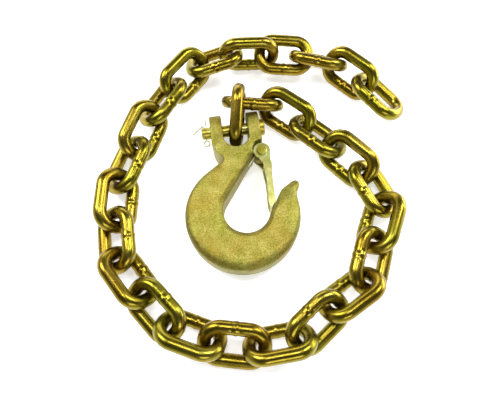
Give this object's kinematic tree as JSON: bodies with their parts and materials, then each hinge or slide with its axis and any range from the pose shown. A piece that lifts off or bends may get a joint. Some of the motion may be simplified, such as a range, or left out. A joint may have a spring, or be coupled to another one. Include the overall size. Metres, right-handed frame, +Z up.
{
  "type": "chain with clevis slip hook",
  "caption": "Short welded safety chain ending in a forged clevis slip hook with a sprung latch, laid out in a loop; it tows, ties down or secures by hooking onto a ring",
  "frame": {"origin": "centre of the bounding box's bottom face, on the ground the chain and hook lie on", "axes": "+Z up; -Y points from the clevis pin down the hook towards its bowl; +X is the side of the latch and of the pin's head"},
  "size_m": [0.258, 0.2682, 0.0428],
  "materials": {
    "hook_body": "forged steel, satin yellow zinc plate with a fine grain",
    "pin": "turned steel, yellow zinc plate",
    "cotter": "bright steel wire, pale zinc plate",
    "latch_sheet": "pressed steel sheet, olive yellow zinc plate",
    "rivet": "steel rivet, yellow zinc plate",
    "spring_wire": "spring steel wire",
    "chain": "glossy yellow zinc plate over drawn wire"
  },
  "bodies": {
    "hook": {"hook": "hook_body", "latch_rivet": "rivet", "latch_spring": "spring_wire"},
    "clevis_pin": {"clevis_pin": "pin", "cotter_pin": "cotter"},
    "latch": {"latch": "latch_sheet"},
    "link_01": {"link_01": "chain"},
    "link_02": {"link_02": "chain"},
    "link_03": {"link_03": "chain"},
    "link_04": {"link_04": "chain"},
    "link_05": {"link_05": "chain"},
    "link_06": {"link_06": "chain"},
    "link_07": {"link_07": "chain"},
    "link_08": {"link_08": "chain"},
    "link_09": {"link_09": "chain"},
    "link_10": {"link_10": "chain"},
    "link_11": {"link_11": "chain"},
    "link_12": {"link_12": "chain"},
    "link_13": {"link_13": "chain"},
    "link_14": {"link_14": "chain"},
    "link_15": {"link_15": "chain"},
    "link_16": {"link_16": "chain"},
    "link_17": {"link_17": "chain"},
    "link_18": {"link_18": "chain"},
    "link_19": {"link_19": "chain"},
    "link_20": {"link_20": "chain"},
    "link_21": {"link_21": "chain"},
    "link_22": {"link_22": "chain"},
    "link_23": {"link_23": "chain"},
    "link_24": {"link_24": "chain"},
    "link_25": {"link_25": "chain"},
    "link_26": {"link_26": "chain"},
    "link_27": {"link_27": "chain"}
  },
  "joints": [
    {"name": "pin_turn", "type": "hinge", "parent": "hook", "child": "clevis_pin", "pos_m": [-0.015, 0.04686, 0.01513], "axis": [1, 0, 0], "continuous": true},
    {"name": "latch_open", "type": "hinge", "parent": "hook", "child": "latch", "pos_m": [0.0031, 0.02246, 0.01467], "axis": [0, 0.0188, -0.9998], "range_deg": [0, 32], "stiffness_Nm_per_rad": 0.03, "springref_deg": -34.38, "deforming": ["latch_spring"]},
    {"name": "link_01_swing", "type": "hinge", "parent": "hook", "child": "link_01", "pos_m": [-0.015, 0.04686, 0.01513], "axis": [1, 0, 0], "range_deg": [-16, 16]},
    {"name": "link_02_swing", "type": "hinge", "parent": "link_01", "child": "link_02", "pos_m": [-0.00737, 0.07429, 0.03003], "axis": [0.9765, -0.2148, 0.0159], "range_deg": [-2.5, 12]},
    {"name": "link_03_swing", "type": "hinge", "parent": "link_02", "child": "link_03", "pos_m": [0.02319, 0.06526, 0.01512], "axis": [0.0674, 0.5712, -0.818], "range_deg": [-14, 9]},
    {"name": "link_04_swing", "type": "hinge", "parent": "link_03", "child": "link_04", "pos_m": [0.03637, 0.04879, 0.01385], "axis": [-0.6069, -0.5789, 0.5446], "range_deg": [-14, 14]},
    {"name": "link_05_swing", "type": "hinge", "parent": "link_04", "child": "link_05", "pos_m": [0.05787, 0.02643, 0.01405], "axis": [-0.5763, -0.4503, -0.682], "range_deg": [-14, 14]},
    {"name": "link_06_swing", "type": "hinge", "parent": "link_05", "child": "link_06", "pos_m": [0.07855, 0.00286, 0.0123], "axis": [0.816, 0.2902, -0.4999], "range_deg": [-14, 14]},
    {"name": "link_07_swing", "type": "hinge", "parent": "link_06", "child": "link_07", "pos_m": [0.09222, -0.03684, 0.01157], "axis": [0.816, 0.2902, -0.4999], "range_deg": [-14, 11]},
    {"name": "link_08_swing", "type": "hinge", "parent": "link_07", "child": "link_08", "pos_m": [0.0782, -0.05404, 0.01519], "axis": [-0.7764, 0.3416, 0.5296], "range_deg": [-14, 14]},
    {"name": "link_09_swing", "type": "hinge", "parent": "link_08", "child": "link_09", "pos_m": [0.06046, -0.09208, 0.01373], "axis": [-0.7764, 0.3416, 0.5296], "range_deg": [-14, 14]},
    {"name": "link_10_swing", "type": "hinge", "parent": "link_09", "child": "link_10", "pos_m": [0.03957, -0.0981, 0.01804], "axis": [0.5144, -0.6275, -0.5846], "range_deg": [-14, 14]},
    {"name": "link_11_swing", "type": "hinge", "parent": "link_10", "child": "link_11", "pos_m": [0.01521, -0.11878, 0.0169], "axis": [-0.0285, -0.6705, 0.7413], "range_deg": [-14, 14]},
    {"name": "link_12_swing", "type": "hinge", "parent": "link_11", "child": "link_12", "pos_m": [-0.01588, -0.12138, 0.01252], "axis": [0.2006, 0.8044, 0.5592], "range_deg": [-14, 14]},
    {"name": "link_13_swing", "type": "hinge", "parent": "link_12", "child": "link_13", "pos_m": [-0.04641, -0.11504, 0.01346], "axis": [0.3166, 0.6727, -0.6687], "range_deg": [-14, 14]},
    {"name": "link_14_swing", "type": "hinge", "parent": "link_13", "child": "link_14", "pos_m": [-0.07569, -0.10292, 0.0123], "axis": [-0.6764, -0.4794, -0.5591], "range_deg": [-14, 14]},
    {"name": "link_15_swing", "type": "hinge", "parent": "link_14", "child": "link_15", "pos_m": [-0.10037, -0.06895, 0.01304], "axis": [-0.6764, -0.4794, -0.5591], "range_deg": [-14, 14]},
    {"name": "link_16_swing", "type": "hinge", "parent": "link_15", "child": "link_16", "pos_m": [-0.11301, -0.05231, 0.01291], "axis": [0.8389, -0.0044, 0.5443], "range_deg": [-14, 14]},
    {"name": "link_17_swing", "type": "hinge", "parent": "link_16", "child": "link_17", "pos_m": [-0.11441, -0.02127, 0.015], "axis": [0.714, -0.0881, -0.6946], "range_deg": [-14, 14]},
    {"name": "link_18_swing", "type": "hinge", "parent": "link_17", "child": "link_18", "pos_m": [-0.11182, 0.00998, 0.01391], "axis": [-0.7386, 0.3977, -0.5443], "range_deg": [-14, 14]},
    {"name": "link_19_swing", "type": "hinge", "parent": "link_18", "child": "link_19", "pos_m": [-0.09781, 0.03768, 0.01467], "axis": [-0.6369, 0.2818, 0.7176], "range_deg": [-14, 14]},
    {"name": "link_20_swing", "type": "hinge", "parent": "link_19", "child": "link_20", "pos_m": [-0.08422, 0.06567, 0.01474], "axis": [0.6, -0.5436, 0.587], "range_deg": [-14, 14]},
    {"name": "link_21_swing", "type": "hinge", "parent": "link_20", "child": "link_21", "pos_m": [-0.05726, 0.0978, 0.01694], "axis": [0.6, -0.5436, 0.587], "range_deg": [-14, 14]},
    {"name": "link_22_swing", "type": "hinge", "parent": "link_21", "child": "link_22", "pos_m": [-0.0446, 0.11471, 0.01185], "axis": [-0.0147, 0.8944, -0.4471], "range_deg": [-14, 7]},
    {"name": "link_23_swing", "type": "hinge", "parent": "link_22", "child": "link_23", "pos_m": [-0.0148, 0.11896, 0.019], "axis": [0.0249, 0.0853, 0.996], "range_deg": [-13, 14]},
    {"name": "link_24_swing", "type": "hinge", "parent": "link_23", "child": "link_24", "pos_m": [0.01549, 0.11672, 0.01824], "axis": [-0.1703, -0.9303, -0.3248], "range_deg": [-14, 13]},
    {"name": "link_25_swing", "type": "hinge", "parent": "link_24", "child": "link_25", "pos_m": [0.05687, 0.11016, 0.01531], "axis": [-0.1703, -0.9303, -0.3248], "range_deg": [-14, 13]},
    {"name": "link_26_swing", "type": "hinge", "parent": "link_25", "child": "link_26", "pos_m": [0.07499, 0.10316, 0.01665], "axis": [0.4096, 0.3365, 0.8479], "range_deg": [-12, 14]},
    {"name": "link_27_swing", "type": "hinge", "parent": "link_26", "child": "link_27", "pos_m": [0.09541, 0.08058, 0.01641], "axis": [0.7027, 0.5499, -0.4515], "range_deg": [-14, 14]}
  ]
}
